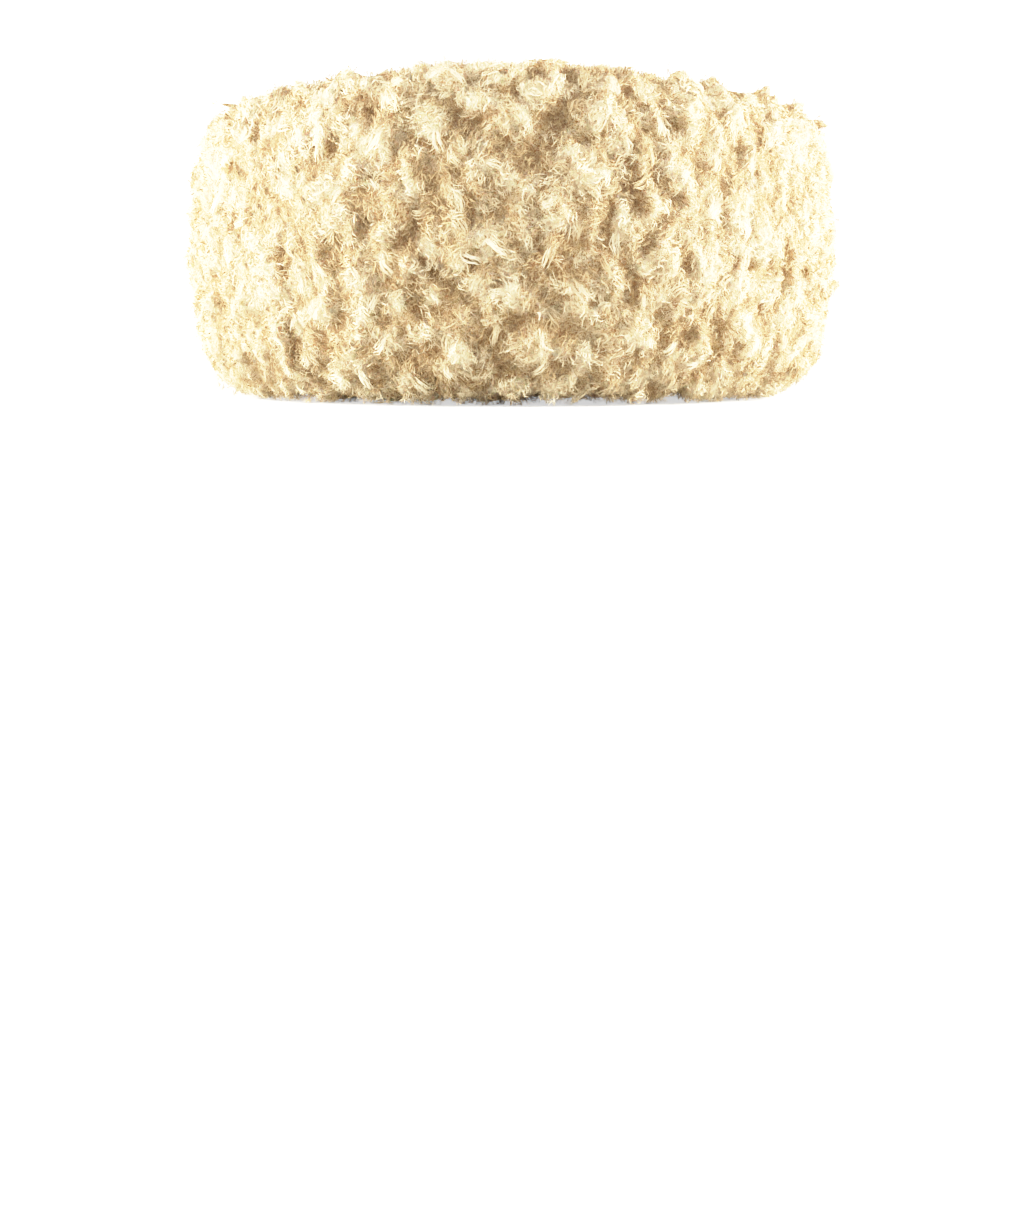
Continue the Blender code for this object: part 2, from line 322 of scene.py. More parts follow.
def scatter_tree():
    """Geometry Nodes: sets shapes over a surface, each turned as the wool lies and in its own shade.

    Smallest and Largest are the scales of a shape. Stray is how far it turns from the lie of the wool, and
    Tilt how far it leans. Paleness is how much higher its tone is than the surface's, and Tone Spread how
    far it may be from that: few are much paler, most a little darker. Each tone has its column of the
    colour strip.
    A shape's course, the way that it runs, becomes the lie of the wool on it.
    """
    inputs = ["Spacing", "Smallest", "Largest", "Stray", "Tilt", "Paleness", "Tone Spread", "Tones", "Floor"]
    inputs = dict.fromkeys(inputs, "Float") | {"Seed": "Int", "Shapes": "Collection", "Material": "Material"}
    tree, given = new_tree("Wool scatter", inputs)
    crowd = maths(tree, "DIVIDE", ROOTS_TRIED, maths(tree, "POWER", given["Spacing"], 2.0))
    spread = {
        "Mesh": given["Geometry"],
        "Distance Min": given["Spacing"],
        "Density Max": crowd,
        "Seed": given["Seed"],
    }
    roots = add(tree, "GeometryNodeDistributePointsOnFaces", spread, distribute_method="POISSON")

    choice = {"Collection": given["Shapes"], "Separate Children": True, "Reset Children": True}
    kinds = add(tree, "GeometryNodeCollectionInfo", choice).outputs[0]
    sized = add(tree, "GeometryNodeAttributeDomainSize", {0: kinds}, component="INSTANCES")
    last = maths(tree, "SUBTRACT", sized.outputs["Instance Count"], 1.0)
    pick = add(tree, "FunctionNodeRandomValue", {4: 0, 5: last, "Seed": 4}, data_type="INT").outputs[2]
    planted = {
        "Points": roots.outputs["Points"],
        "Instance": kinds,
        "Pick Instance": True,
        "Instance Index": pick,
        "Rotation": laid(tree, roots.outputs["Normal"], given),
        "Scale": random_between(tree, given["Smallest"], given["Largest"], 3),
    }
    planted = add(tree, "GeometryNodeInstanceOnPoints", planted).outputs[0]

    # from -0.5 to 1.5, with most of them near -0.5
    bright = maths(tree, "POWER", random_between(tree, 0.0, 1.0, 6), 3.0)
    bright = maths(tree, "MULTIPLY_ADD", bright, 2.0, -0.5)
    tone = maths(tree, "ADD", named(tree, "tone"), given["Paleness"])
    tone = maths(tree, "MULTIPLY_ADD", bright, given["Tone Spread"], tone)
    toned = marked(tree, planted, "tone", between(tree, tone, 0.0, 0.999), domain="INSTANCE")
    turn = add(tree, "GeometryNodeInputInstanceRotation").outputs[0]
    turned = marked(tree, toned, "turn", turn, "QUATERNION", "INSTANCE")
    real = add(tree, "GeometryNodeRealizeInstances", {0: turned}).outputs[0]

    course = {"Vector": named(tree, "course", "FLOAT_VECTOR"), "Rotation": named(tree, "turn", "QUATERNION")}
    course = add(tree, "FunctionNodeRotateVector", course).outputs[0]
    marks = marked(tree, real, "lie", course, "FLOAT_VECTOR")

    # a shape fills the middle nine tenths of its column, so that its neighbours' shades don't bleed in
    mapped = add(tree, "ShaderNodeSeparateXYZ", {0: named(tree, "OFBake", "FLOAT_VECTOR")})
    across, along, _ = mapped.outputs
    column = maths(tree, "FLOOR", maths(tree, "MULTIPLY", named(tree, "tone"), given["Tones"]))
    across = maths(tree, "ADD", column, maths(tree, "MULTIPLY_ADD", across, 0.9, 0.05))
    across = maths(tree, "DIVIDE", across, given["Tones"])
    at_strip = add(tree, "ShaderNodeCombineXYZ", {0: across, 1: along}).outputs[0]
    mapped = marked(tree, marks, "OFBake", at_strip, "FLOAT2", "CORNER")
    shown = {"Geometry": pressed_flat(tree, mapped, given["Floor"]), "Material": given["Material"]}
    add(tree, "NodeGroupOutput", {"Geometry": add(tree, "GeometryNodeSetMaterial", shown).outputs[0]})
    return tree


def marks_tree():
    """Geometry Nodes: marks a fused surface with its tone and the lie of its wool, from the nearest lock.

    Painted shade makes the tone fall where the surface lies deep under the form, towards Depth, and towards a
    lock's root.
    """
    inputs = {"Form": "Object", "Locks": "Object", "Depth": "Float", "Floor": "Float"}
    tree, given = new_tree("Wool marks", inputs)
    form = add(tree, "GeometryNodeObjectInfo", {0: given["Form"]}).outputs["Geometry"]
    locks = add(tree, "GeometryNodeObjectInfo", {0: given["Locks"]}).outputs["Geometry"]

    def nearest(surface, value, data_type="FLOAT"):
        inputs = {"Mesh": surface, "Value": value}
        return add(tree, "GeometryNodeSampleNearestSurface", inputs, data_type=data_type).outputs[0]

    place = add(tree, "GeometryNodeInputPosition").outputs[0]
    foot = add(tree, "GeometryNodeProximity", {0: form}, target_element="FACES").outputs["Position"]
    upward = nearest(form, add(tree, "GeometryNodeInputNormal").outputs[0], "FLOAT_VECTOR")
    height = vectors(tree, "DOT_PRODUCT", vectors(tree, "SUBTRACT", place, foot), upward)
    # painted shade: the tone falls where the surface lies deep in a crease
    rise = maths(tree, "ADD", maths(tree, "DIVIDE", height, given["Depth"]), 1.0)
    rise = maths(tree, "MINIMUM", rise, PALEST_HEIGHT)
    # painted shade: darker towards a lock's root, deep in the pile
    along = maths(tree, "SUBTRACT", nearest(locks, named(tree, "along")), 0.5)
    tone = maths(tree, "MULTIPLY_ADD", nearest(locks, named(tree, "tone")), TONE_BY_LOCK, BASE_TONE)
    tone = maths(tree, "MULTIPLY_ADD", rise, CREASE_SHADE_BY_HEIGHT, tone)
    tone = maths(tree, "MULTIPLY_ADD", along, ROOT_SHADE_BY_LENGTH, tone)
    marks = marked(tree, given["Geometry"], "tone", between(tree, tone, 0.0, 1.0))
    lie = nearest(locks, named(tree, "lie", "FLOAT_VECTOR"), "FLOAT_VECTOR")
    marks = marked(tree, marks, "lie", lie, "FLOAT_VECTOR")
    add(tree, "NodeGroupOutput", {"Geometry": pressed_flat(tree, marks, given["Floor"])})
    return tree


def give(obj, tree, **values):
    """Puts a Geometry Nodes tree on an object, with its inputs set by their sockets' identifiers."""
    modifier = obj.modifiers.new(tree.name, "NODES")
    modifier.node_group = tree
    for socket in tree.interface.items_tree:
        name = socket.name.lower().replace(" ", "_")
        if socket.item_type == "SOCKET" and socket.in_out == "INPUT" and name in values:
            modifier[socket.identifier] = values[name]


def baked(obj, name):
    """The object as its modifiers leave it, as a plain mesh object; the first one is removed."""
    obj.update_tag()
    ready = obj.evaluated_get(bpy.context.evaluated_depsgraph_get())
    made = bpy.data.objects.new(name, bpy.data.meshes.new_from_object(ready))
    made.data.name = name
    bpy.data.objects.remove(obj)
    return made


def bare_object(name, data):
    """An object in the scene for this mesh, lamp or lens."""
    made = bpy.data.objects.new(name, data)
    bpy.context.scene.collection.objects.link(made)
    return made


def voxelled(obj, grain, rounds):
    """Makes an object one even surface of cells of this size, eased in so many rounds."""
    voxels = obj.modifiers.new("Voxels", "REMESH")
    voxels.mode, voxels.voxel_size, voxels.use_smooth_shade = "VOXEL", grain, True
    ease = obj.modifiers.new("Ease", "SMOOTH")
    ease.factor, ease.iterations = 0.5, rounds


def form_of(node, rounds):
    """A CAD node's form without its curls, eased in so many rounds and kept out of the scene."""
    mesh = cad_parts[node].data.copy()
    whole = bmesh.new()
    whole.from_mesh(mesh)
    bmesh.ops.remove_doubles(whole, verts=whole.verts, dist=WELD)
    whole.to_mesh(mesh)
    whole.free()
    mesh.materials.clear()
    form = bare_object(node + "_solid", mesh)
    voxelled(form, FORM_GRAIN, rounds)
    return baked(form, node + "_form")


def part_of(mesh, kept, name):
    """An object with only the faces of a mesh that are kept."""
    some = bmesh.new()
    some.from_mesh(mesh)
    some.faces.ensure_lookup_table()
    lost = [some.faces[i] for i in np.flatnonzero(~kept)]
    bmesh.ops.delete(some, geom=lost, context="FACES")
    left = bpy.data.meshes.new(name)
    some.to_mesh(left)
    some.free()
    left.shade_smooth()
    return bare_object(name, left)


def face_facts(mesh):
    """Each face's middle and normal."""
    middle, normal = np.zeros((2, len(mesh.polygons) * 3))
    mesh.polygons.foreach_get("center", middle)
    mesh.polygons.foreach_get("normal", normal)
    return middle.reshape(-1, 3), normal.reshape(-1, 3)


def piled_ground(form, piled, sunk, name, outward):
    """The pile's ground over a form: lumpy on its sunk faces, with locks fused to the piled ones."""
    corners = [corner for face in np.flatnonzero(sunk) for corner in form.data.polygons[face].vertices]
    mask = np.zeros(len(form.data.vertices))
    mask[corners] = 1
    form.data.attributes.new("sunk", "FLOAT", "POINT").data.foreach_set("value", mask)
    lumpy = bare_object(name + "_lumps", form.data.copy())
    give(
        lumpy,
        LUMPS,
        depth=GROUND_DEPTH,
        lump_spacing=LUMP_SPACING,
        lump_stretch=LUMP_STRETCH,
        lump_height=LUMP_HEIGHT,
        outward=outward,
        swirl=SWIRL,
        floor=FLOOR,
        combed_height=COMBED_HEIGHT,
    )
    lumpy = baked(lumpy, name + "_lumps")
    locks = part_of(lumpy.data, piled, name + "_roots")
    give(locks, SCATTER, shapes=LOCKS, spacing=LOCK_SPACING, seed=LOCK_SEED, floor=FLOOR, **LOCK_HABIT)
    locks = baked(locks, name + "_locks")

    both = bmesh.new()
    both.from_mesh(lumpy.data)
    both.from_mesh(locks.data)
    mesh = bpy.data.meshes.new(name)
    both.to_mesh(mesh)
    both.free()
    whole = bare_object(name + "_parts", mesh)
    voxelled(whole, GROUND_GRAIN, GROUND_EASING)
    give(whole, MARKS, form=form, locks=locks, depth=GROUND_DEPTH, floor=FLOOR)
    ground = baked(whole, name)
    bpy.context.scene.collection.objects.link(ground)
    ground.data.materials.clear()
    ground.data.materials.append(WOOL_GROUND)
    return ground


def crooked_path(random, length, lift, bend):
    """The middle line of a lock or a hair, which turns by up to the bend in radians.

    It returns its positions at shares of its length, and the directions across, up and forward there.
    """
    hook = random.choice([-1, 1]) * random.uniform(0.3, 1.0) * bend
    wave = random.uniform(-0.45, 0.45) * bend

    def at(share):
        # a hook that turns faster and faster, with a wave over it that turns one way and back
        fine = np.linspace(0, 1, PATH_STEPS)[:, None] * share
        turn = hook * (fine * abs(fine) ** 0.5 - 0.3) + wave * np.sin(2 * math.pi * fine)
        x = np.trapz(np.sin(turn), fine, axis=0) * length
        y = np.trapz(np.cos(turn), fine, axis=0) * length
        arch = np.sin(math.pi * np.clip(share, 0, 1) ** 0.8 * 0.88)
        return np.stack([x, y, lift * arch - ROOT_DEPTH], 1)

    def axes(share):
        forward = at(share + 0.01) - at(share - 0.01)
        across = np.cross(forward, (0, 0, 1))
        across /= np.linalg.norm(across, axis=1, keepdims=True)
        up = np.cross(across, forward)
        up /= np.linalg.norm(up, axis=1, keepdims=True)
        return across, up, forward / np.linalg.norm(forward, axis=1, keepdims=True)

    return at, axes


def shape_of(name, points, faces, across, along, course=None):
    """An object, kept out of the scene, whose points lie at these shares across and along its wool."""
    mesh = bpy.data.meshes.new(name)
    mesh.from_pydata([tuple(map(float, point)) for point in points], [], faces)
    corner = np.zeros(len(mesh.loops), np.int32)
    mesh.loops.foreach_get("vertex_index", corner)
    uvs = np.stack([np.asarray(across, float)[corner], np.asarray(along, float)[corner]], 1)
    mesh.uv_layers.new(name="OFBake").data.foreach_set("uv", uvs.ravel())
    mesh.attributes.new("along", "FLOAT", "POINT").data.foreach_set("value", np.asarray(along, float))
    if course is not None:
        mesh.attributes.new("course", "FLOAT_VECTOR", "POINT").data.foreach_set("vector", course.ravel())
    mesh.shade_smooth()
    return bpy.data.objects.new(name, mesh)


def lock(random, name):
    """One kind of lock: a flattened roll of wool along a crooked path, fullest past its middle."""
    sides, rings = 8, 9
    length, lift = random.uniform(*LOCK_LENGTH), random.uniform(*LOCK_LIFT)
    at, axes = crooked_path(random, length, lift, LOCK_BEND)
    half = random.uniform(*LOCK_HALF_WIDTH)
    run = np.linspace(0, 1, rings)
    across, up, forward = axes(run)
    full = half * np.sin(math.pi * (0.04 + 0.92 * run**1.2)) ** 0.7
    turn = np.linspace(0, 2 * math.pi, sides, endpoint=False)[:, None]
    round_it = across[:, None] * np.cos(turn) + LOCK_FLATNESS * up[:, None] * np.sin(turn)
    points = (at(run)[:, None] + round_it * full[:, None, None]).reshape(-1, 3)
    points = points + random.uniform(-LOCK_ROUGHNESS, LOCK_ROUGHNESS, points.shape)
    faces = [tuple(range(sides)), tuple(reversed(range((rings - 1) * sides, rings * sides)))]
    for ring in range(rings - 1):
        for side in range(sides):
            here, there = ring * sides + side, ring * sides + (side + 1) % sides
            faces.append((here, here + sides, there + sides, there))
    shares = np.repeat(run, sides)
    return shape_of(name, points, faces, np.full(len(points), 0.5), shares, np.repeat(forward, sides, 0))


def kinds_of(name, make, count, seed):
    """A collection, kept out of the scene, of so many shapes."""
    random = np.random.default_rng(seed)
    made = bpy.data.collections.new(name)
    for n in range(count):
        made.objects.link(make(random, f"{name}_{n:02d}"))
    return made


LUMPS = lump_tree()
SCATTER = scatter_tree()
MARKS = marks_tree()
WOOL_GROUND = ground_material()
LOCKS = kinds_of("lock", lock, LOCK_KINDS, LOCK_SEED)
LOCK_HABIT = dict(smallest=0.7, largest=1.15, stray=0.7, tilt=0.15, tone_spread=0.42, tones=1.0)
wall_low, wall_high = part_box("crown_wall")[0][2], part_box("crown_wall")[1][2]


def cuff_is_piled(mesh):
    """Which faces of the cuff are piled: all but those behind the crown's wall and under its foot."""
    middle, normal = face_facts(mesh)
    height = middle[:, 2]
    radial = middle[:, :2] / np.linalg.norm(middle[:, :2], axis=1, keepdims=True)
    facing_in = (normal[:, :2] * radial).sum(1) < -FACING
    behind = facing_in & (height > wall_low - 0.002) & (height < wall_high - 0.004)
    on_fold = (normal[:, 2] > FACING) & (height < wall_low + 0.006)
    return ~(behind | on_fold)


cuff_form = form_of("cuff", CUFF_EASING)
cuff_piled = cuff_is_piled(cuff_form.data)
cuff_ground = piled_ground(cuff_form, cuff_piled, cuff_piled, "cuff_ground", CUFF_OUTWARD)
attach(cuff_ground, "root")
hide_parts("cuff")


# The hairs on the cuff: fine, crimped, in tufts that follow the locks and fill the creases between them.
# They take the tone of the wool that they stand on, painted shade included, and painted shade darkens their
# roots.
TUFT_SPACING = 0.00216
TUFT_KINDS = 20
TUFT_SEED = 8
TUFT_HAIRS = 8
TUFT_SPREAD = 0.0012  # how far from its middle a hair stands
TUFT_FAN = 0.6  # how far a hair turns from its tuft's own way
HAIR_LENGTH = 0.0026, 0.0052
HAIR_LIFT = 0.0006, 0.0020
HAIR_BEND = 2.4
HAIR_HALF_WIDTH = 0.00009, 0.00015
HAIR_CRIMP = 0.0005  # how far it is thrown off its path
HAIR_RAISED = 0.0006  # how much shallower it is rooted than a lock
HAIR_IN_STRIP = 0.1  # how much of a column's width it takes up
WOOL_TONES = 24  # how many shades of wool lie side by side in the colour strip
TIP_COLOURS = (0.60, 0.43, 0.24, 1), (0.99, 0.88, 0.65, 1)
# the roots' colours are painted shade, darker than the tips as they lie deep in the pile
ROOT_SHADE_COLOURS = (0.19, 0.097, 0.037, 1), (0.64, 0.46, 0.265, 1)
PALEST_TONE = 0.9
STREAK_CONTRAST = 4.0  # how far single hairs differ in how soon they pale
CUFF_SECTORS = 3  # the hairs of the cuff are split so that no piece gets too large


def tuft(random, name):
    """One kind of tuft: fine hairs close together, each crimped its own way and thin at both ends."""
    points, faces, across, along = [], [], [], []
    for _ in range(TUFT_HAIRS):
        length, lift = random.uniform(*HAIR_LENGTH), random.uniform(*HAIR_LIFT)
        at, axes = crooked_path(random, length, lift, HAIR_BEND)
        run = np.linspace(0, 1, 4)
        middle = at(run) + random.uniform(-HAIR_CRIMP, HAIR_CRIMP, (4, 3)) + (0, 0, HAIR_RAISED)
        edge = axes(run)[0] * random.uniform(*HAIR_HALF_WIDTH)
        hair = np.array([middle[0], middle[1] - edge[1], middle[1] + edge[1]])
        hair = np.concatenate([hair, [middle[2] - edge[2], middle[2] + edge[2], middle[3]]])
        turn = random.uniform(-TUFT_FAN, TUFT_FAN)
        way = np.array([[math.cos(turn), math.sin(turn), 0], [-math.sin(turn), math.cos(turn), 0], [0, 0, 1]])
        start = len(points)
        points += list(hair @ way + [*random.uniform(-TUFT_SPREAD, TUFT_SPREAD, 2), 0])
        faces += [(start, start + 1, start + 2), (start + 1, start + 3, start + 4, start + 2)]
        faces.append((start + 3, start + 5, start + 4))
        left = random.uniform(0, 1 - HAIR_IN_STRIP)
        mid, right = left + HAIR_IN_STRIP / 2, left + HAIR_IN_STRIP
        across += [mid, left, right, left, right, mid]
        along += [0, 1 / 3, 1 / 3, 2 / 3, 2 / 3, 1]
    return shape_of(name, points, faces, across, along)


def strand_material():
    """Wool in hairs: its tone goes by the tuft, and painted shade darkens it from tip to root. It reads only
    its UV map.
    """
    made, tree, shader = new_material("wool_hairs", 0.9, 0.15)
    uv = add(tree, "ShaderNodeUVMap", uv_map="OFBake").outputs[0]
    across, along, _ = add(tree, "ShaderNodeSeparateXYZ", {0: uv}).outputs
    column = maths(tree, "MULTIPLY", across, float(WOOL_TONES))
    tone = maths(tree, "DIVIDE", maths(tree, "FLOOR", column), float(WOOL_TONES))

    # the streaks are stretched along the hairs
    stretched = {0: maths(tree, "MULTIPLY", column, 14.0), 1: maths(tree, "MULTIPLY", along, 2.5)}
    stretched = add(tree, "ShaderNodeCombineXYZ", stretched).outputs[0]
    streaks = maths(tree, "SUBTRACT", noise(tree, stretched, 1.0, 3)[0], 0.5)
    # painted shade: each hair is darker at its root than at its tip
    tips = ramp(tree, tone, (0, TIP_COLOURS[0]), (PALEST_TONE, TIP_COLOURS[1]))
    roots = ramp(tree, tone, (0, ROOT_SHADE_COLOURS[0]), (PALEST_TONE, ROOT_SHADE_COLOURS[1]))
    pale = maths(tree, "MULTIPLY_ADD", streaks, STREAK_CONTRAST, along)
    blend = ramp(tree, pale, (0.0, (0, 0, 0, 1)), (0.8, (1, 1, 1, 1)))
    colour = add(tree, "ShaderNodeMix", {0: blend, 6: roots, 7: tips}, data_type="RGBA").outputs[2]
    tree.links.new(colour, shader.inputs["Base Color"])
    return made


def sectors(middle, count):
    """Which of so many equal sectors round the hat each face lies in."""
    turn = np.arctan2(middle[:, 1], middle[:, 0]) / (2 * math.pi) + 0.5
    return np.minimum((turn * count).astype(int), count - 1)


def wool_on(mesh, kept, name, slot, material, **values):
    """A piece of scattered wool on the kept faces of a mesh."""
    surface = part_of(mesh, kept, name + "_roots")
    give(surface, SCATTER, floor=FLOOR, tones=float(WOOL_TONES), material=material, **values)
    piece = baked(surface, name)
    bpy.context.scene.collection.objects.link(piece)
    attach(piece, "root")
    return piece


WOOL_HAIRS = strand_material()
TUFTS = kinds_of("tuft", tuft, TUFT_KINDS, TUFT_SEED)
TUFT_HABIT = dict(
    shapes=TUFTS, spacing=TUFT_SPACING, smallest=0.75, largest=1.2, stray=0.55, tilt=0.3, tone_spread=0.3
)
cuff_shown = cuff_is_piled(cuff_ground.data)
cuff_sector = sectors(face_facts(cuff_ground.data)[0], CUFF_SECTORS)
for number in range(CUFF_SECTORS):
    here = cuff_shown & (cuff_sector == number)
    values = TUFT_HABIT | {"seed": number + 20}
    wool_on(cuff_ground.data, here, f"cuff_hairs_{number + 1}", "cuff_pile", WOOL_HAIRS, **values)


# The tips of the cuff's curls: sleek wisps, drawn to a point, painted paler than the wool as a painted
# highlight.
# Each is a dozen fine hairs that cling together along one crooked path.
WISP_SPACING = 0.0084
WISP_KINDS = 14
WISP_SEED = 17
WISP_HAIRS = 12
WISP_LENGTH = 0.0065, 0.0100
WISP_LIFT = 0.0010, 0.0018
WISP_BEND = 1.8
WISP_HALF_WIDTH = 0.0013
WISP_THICKNESS = 0.0002, 0.0010  # how far its hairs lie over its path
WISP_HAIR_HALF_WIDTH = 0.00006, 0.00010
WISP_CRIMP = 0.00025


def wisp(random, name):
    """One kind of wisp: hairs that run side by side along a crooked path and close up towards its ends."""
    length, lift = random.uniform(*WISP_LENGTH), random.uniform(*WISP_LIFT)
    at, axes = crooked_path(random, length, lift, WISP_BEND)
    points, faces, across, along = [], [], [], []
    for _ in range(WISP_HAIRS):
        run = np.linspace(random.uniform(0.0, 0.3), random.uniform(0.7, 1.0), 5)
        over, up, _ = axes(run)
        full = np.sin(math.pi * (0.12 + 0.76 * run))[:, None]
        line = at(run) + over * full * random.uniform(-WISP_HALF_WIDTH, WISP_HALF_WIDTH)
        line += up * full * random.uniform(*WISP_THICKNESS)
        line += random.uniform(-WISP_CRIMP, WISP_CRIMP, (5, 3))
        edge = over[1:4] * random.uniform(*WISP_HAIR_HALF_WIDTH)
        start = len(points)
        points += [line[0], *(line[1:4] - edge), *(line[1:4] + edge), line[4]]
        faces += [(start, start + 1, start + 4), (start + 3, start + 7, start + 6)]
        faces += [(start + n, start + n + 1, start + n + 4, start + n + 3) for n in (1, 2)]
        left = random.uniform(0, 1 - HAIR_IN_STRIP)
        mid, right = left + HAIR_IN_STRIP / 2, left + HAIR_IN_STRIP
        across += [mid, *[left] * 3, *[right] * 3, mid]
        shares = 0.3 + 0.7 * run
        along += [shares[0], *shares[1:4], *shares[1:4], shares[4]]
    return shape_of(name, points, faces, across, along)


wool_on(
    cuff_ground.data,
    cuff_shown,
    "cuff_tips",
    "cuff_pile",
    WOOL_HAIRS,
    shapes=kinds_of("wisp", wisp, WISP_KINDS, WISP_SEED),
    spacing=WISP_SPACING,
    smallest=0.7,
    largest=1.2,
    stray=0.4,
    tilt=0.15,
    # painted highlight: the wisps are paler than the wool they lie on
    paleness=0.25,
    tone_spread=0.2,
    seed=31,
)


# The stray hairs: a few thin dark ones that cling to the outside of the cuff.
# Each is a single hair, longer than the wool's own, that lies loose on the wool and is turned any way.
STRAY_SPACING = 0.030
STRAY_KINDS = 12
STRAY_SEED = 5
STRAY_LENGTH = 0.008, 0.016
STRAY_LIFT = 0.002, 0.004
STRAY_BEND = 2.0
STRAY_HALF_WIDTH = 0.00006
STRAY_RAISED = 0.0018
STRAY_COLOUR = (0.10, 0.06, 0.03, 1)


def stray(random, name):
    """One kind of stray hair: long, thin and bowed, with no more than a slight crimp."""
    length, lift = random.uniform(*STRAY_LENGTH), random.uniform(*STRAY_LIFT)
    at, axes = crooked_path(random, length, lift, STRAY_BEND)
    run = np.linspace(0, 1, 9)
    edge = axes(run)[0] * (STRAY_HALF_WIDTH * np.sin(math.pi * (0.1 + 0.8 * run)))[:, None]
    points = np.concatenate([at(run) - edge, at(run) + edge]) + (0, 0, STRAY_RAISED)
    faces = [(n, n + 1, n + 10, n + 9) for n in range(8)]
    return shape_of(name, points, faces, np.repeat([0.2, 0.8], 9), np.tile(run, 2))


def dark_hair_material():
    """A dark brown hair, a little glossier than the wool."""
    made, _, shader = new_material("dark_hair", 0.6, 0.0)
    shader.inputs["Base Color"].default_value = STRAY_COLOUR
    return made


wool_on(
    cuff_ground.data,
    cuff_shown,
    "stray_hairs",
    "cuff_pile",
    dark_hair_material(),
    shapes=kinds_of("stray", stray, STRAY_KINDS, STRAY_SEED),
    spacing=STRAY_SPACING,
    smallest=0.7,
    largest=1.2,
    stray=2.5,
    tilt=0.15,
    tone_spread=0.0,
    seed=41,
)


# The crown's wall, seen only from inside: the bare skin side of the pile cloth, napped and a little uneven.
# It stands on the cuff's fold, carries the tip and keeps the solid's own shape.
SKIN_COLOURS = (0.45, 0.33, 0.21, 1), (0.66, 0.53, 0.38, 1)
CLOUD_SCALE = 60
NAP_SCALE = 1800
NAP_RELIEF = 0.0004


def skin_material():
    """The bare side of the cloth: a cloudy tan with a fine, short nap."""
    made, tree, shader = new_material("napped_skin", 0.85, 0.2)
    place = add(tree, "ShaderNodeTexCoord").outputs["Object"]
    cloud = noise(tree, place, CLOUD_SCALE, 4)[0]
    nap = noise(tree, place, NAP_SCALE, 2)[0]
    mixed = maths(tree, "ADD", maths(tree, "MULTIPLY", cloud, 0.7), maths(tree, "MULTIPLY", nap, 0.3))
    colour = ramp(tree, mixed, (0.35, SKIN_COLOURS[0]), (0.65, SKIN_COLOURS[1]))
    tree.links.new(colour, shader.inputs["Base Color"])
    bump = add(tree, "ShaderNodeBump", {"Height": nap, "Strength": 0.4, "Distance": NAP_RELIEF})
    tree.links.new(bump.outputs["Normal"], shader.inputs["Normal"])
    return made


NAPPED_SKIN = skin_material()
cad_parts["crown_wall"].data.materials.clear()
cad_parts["crown_wall"].data.materials.append(NAPPED_SKIN)


# The crown's tip: a low dome of the same pile cloth sewn to the wall, pile upwards.
# Its wool runs outwards from the middle, towards the groove behind the cuff's top edge.
CROWN_EASING = 4
CROWN_OUTWARD = 1.0
CROWN_HABIT = TUFT_HABIT | {"spacing": 0.0023, "largest": 1.3, "seed": 29}
SEAM_HEIGHT = 0.007  # how far over the wall's top the pile starts to be sunk
UNDERSIDE = -0.7  # a face whose normal points down by more than this is the cloth's bare side
HOLLOW_SHARE = 0.75  # nearer to the middle than this share, any face that looks down is bare too


def crown_underside(mesh):
    """Which faces of the crown's tip are the bare side of the cloth, seen from inside the hat."""
    middle, normal = face_facts(mesh)
    radius = np.hypot(*middle[:, :2].T)
    within = radius / radius.max() < HOLLOW_SHARE
    return (normal[:, 2] < UNDERSIDE) | ((normal[:, 2] < -FACING) & within)


crown_form = form_of("crown_tip", CROWN_EASING)
crown_middle, crown_normal = face_facts(crown_form.data)
crown_piled = crown_normal[:, 2] > UNDERSIDE
above_seam = crown_middle[:, 2] > wall_high + SEAM_HEIGHT
crown_ground = piled_ground(
    crown_form, crown_piled, crown_piled & above_seam, "crown_ground", CROWN_OUTWARD
)
crown_ground.data.materials.append(NAPPED_SKIN)
inside = crown_underside(crown_ground.data)
crown_ground.data.polygons.foreach_set("material_index", inside.astype(np.int32))
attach(crown_ground, "root")
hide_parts("crown_tip")
wool_on(crown_ground.data, ~inside, "crown_hairs", "crown_pile", WOOL_HAIRS, **CROWN_HABIT)


# The floor and the backdrop: one sweep of white paper that burns out to pure white in the picture.
# It throws back less light on the hat than its white in the picture would.
PAPER_WHITE = 0.43  # what it throws back on the hat
PAPER_SEEN = 0.98  # and what it throws back in the picture
PAPER_GLOW = 0.65  # how much brighter still it is in the picture
SWEEP_FRONT = -0.75
SWEEP_TURN = 1.2  # where the floor begins to curve up into the backdrop
SWEEP_RADIUS = 0.8
SWEEP_TOP = 3.0
SWEEP_HALF_WIDTH = 0.85


def paper_material():
    """White paper that looks brighter to the camera than to the hat."""
    made, tree, shader = new_material("white_paper", 0.9, 0.0)
    shader.inputs["Emission Color"].default_value = (1, 1, 1, 1)
    seen = add(tree, "ShaderNodeLightPath").outputs["Is Camera Ray"]
    white = maths(tree, "MULTIPLY_ADD", seen, PAPER_SEEN - PAPER_WHITE, PAPER_WHITE)
    tree.links.new(white, shader.inputs["Base Color"])
    tree.links.new(maths(tree, "MULTIPLY", seen, PAPER_GLOW), shader.inputs["Emission Strength"])
    return made


low = float(cad_box[0][2])
profile = [(SWEEP_FRONT, low), (SWEEP_TURN, low)]
for turn in np.linspace(0.1, math.pi / 2, 10):
    back = SWEEP_TURN + math.sin(turn) * SWEEP_RADIUS
    profile.append((back, low + SWEEP_RADIUS - math.cos(turn) * SWEEP_RADIUS))
profile.append((SWEEP_TURN + SWEEP_RADIUS, low + SWEEP_TOP))
points = [(x, y, z) for y, z in profile for x in (-SWEEP_HALF_WIDTH, SWEEP_HALF_WIDTH)]
faces = [(2 * n, 2 * n + 1, 2 * n + 3, 2 * n + 2) for n in range(len(profile) - 1)]
sweep_mesh = bpy.data.meshes.new("sweep")
sweep_mesh.from_pydata(points, [], faces)
sweep_mesh.shade_smooth()
sweep_mesh.materials.append(paper_material())
bare_object("sweep", sweep_mesh)


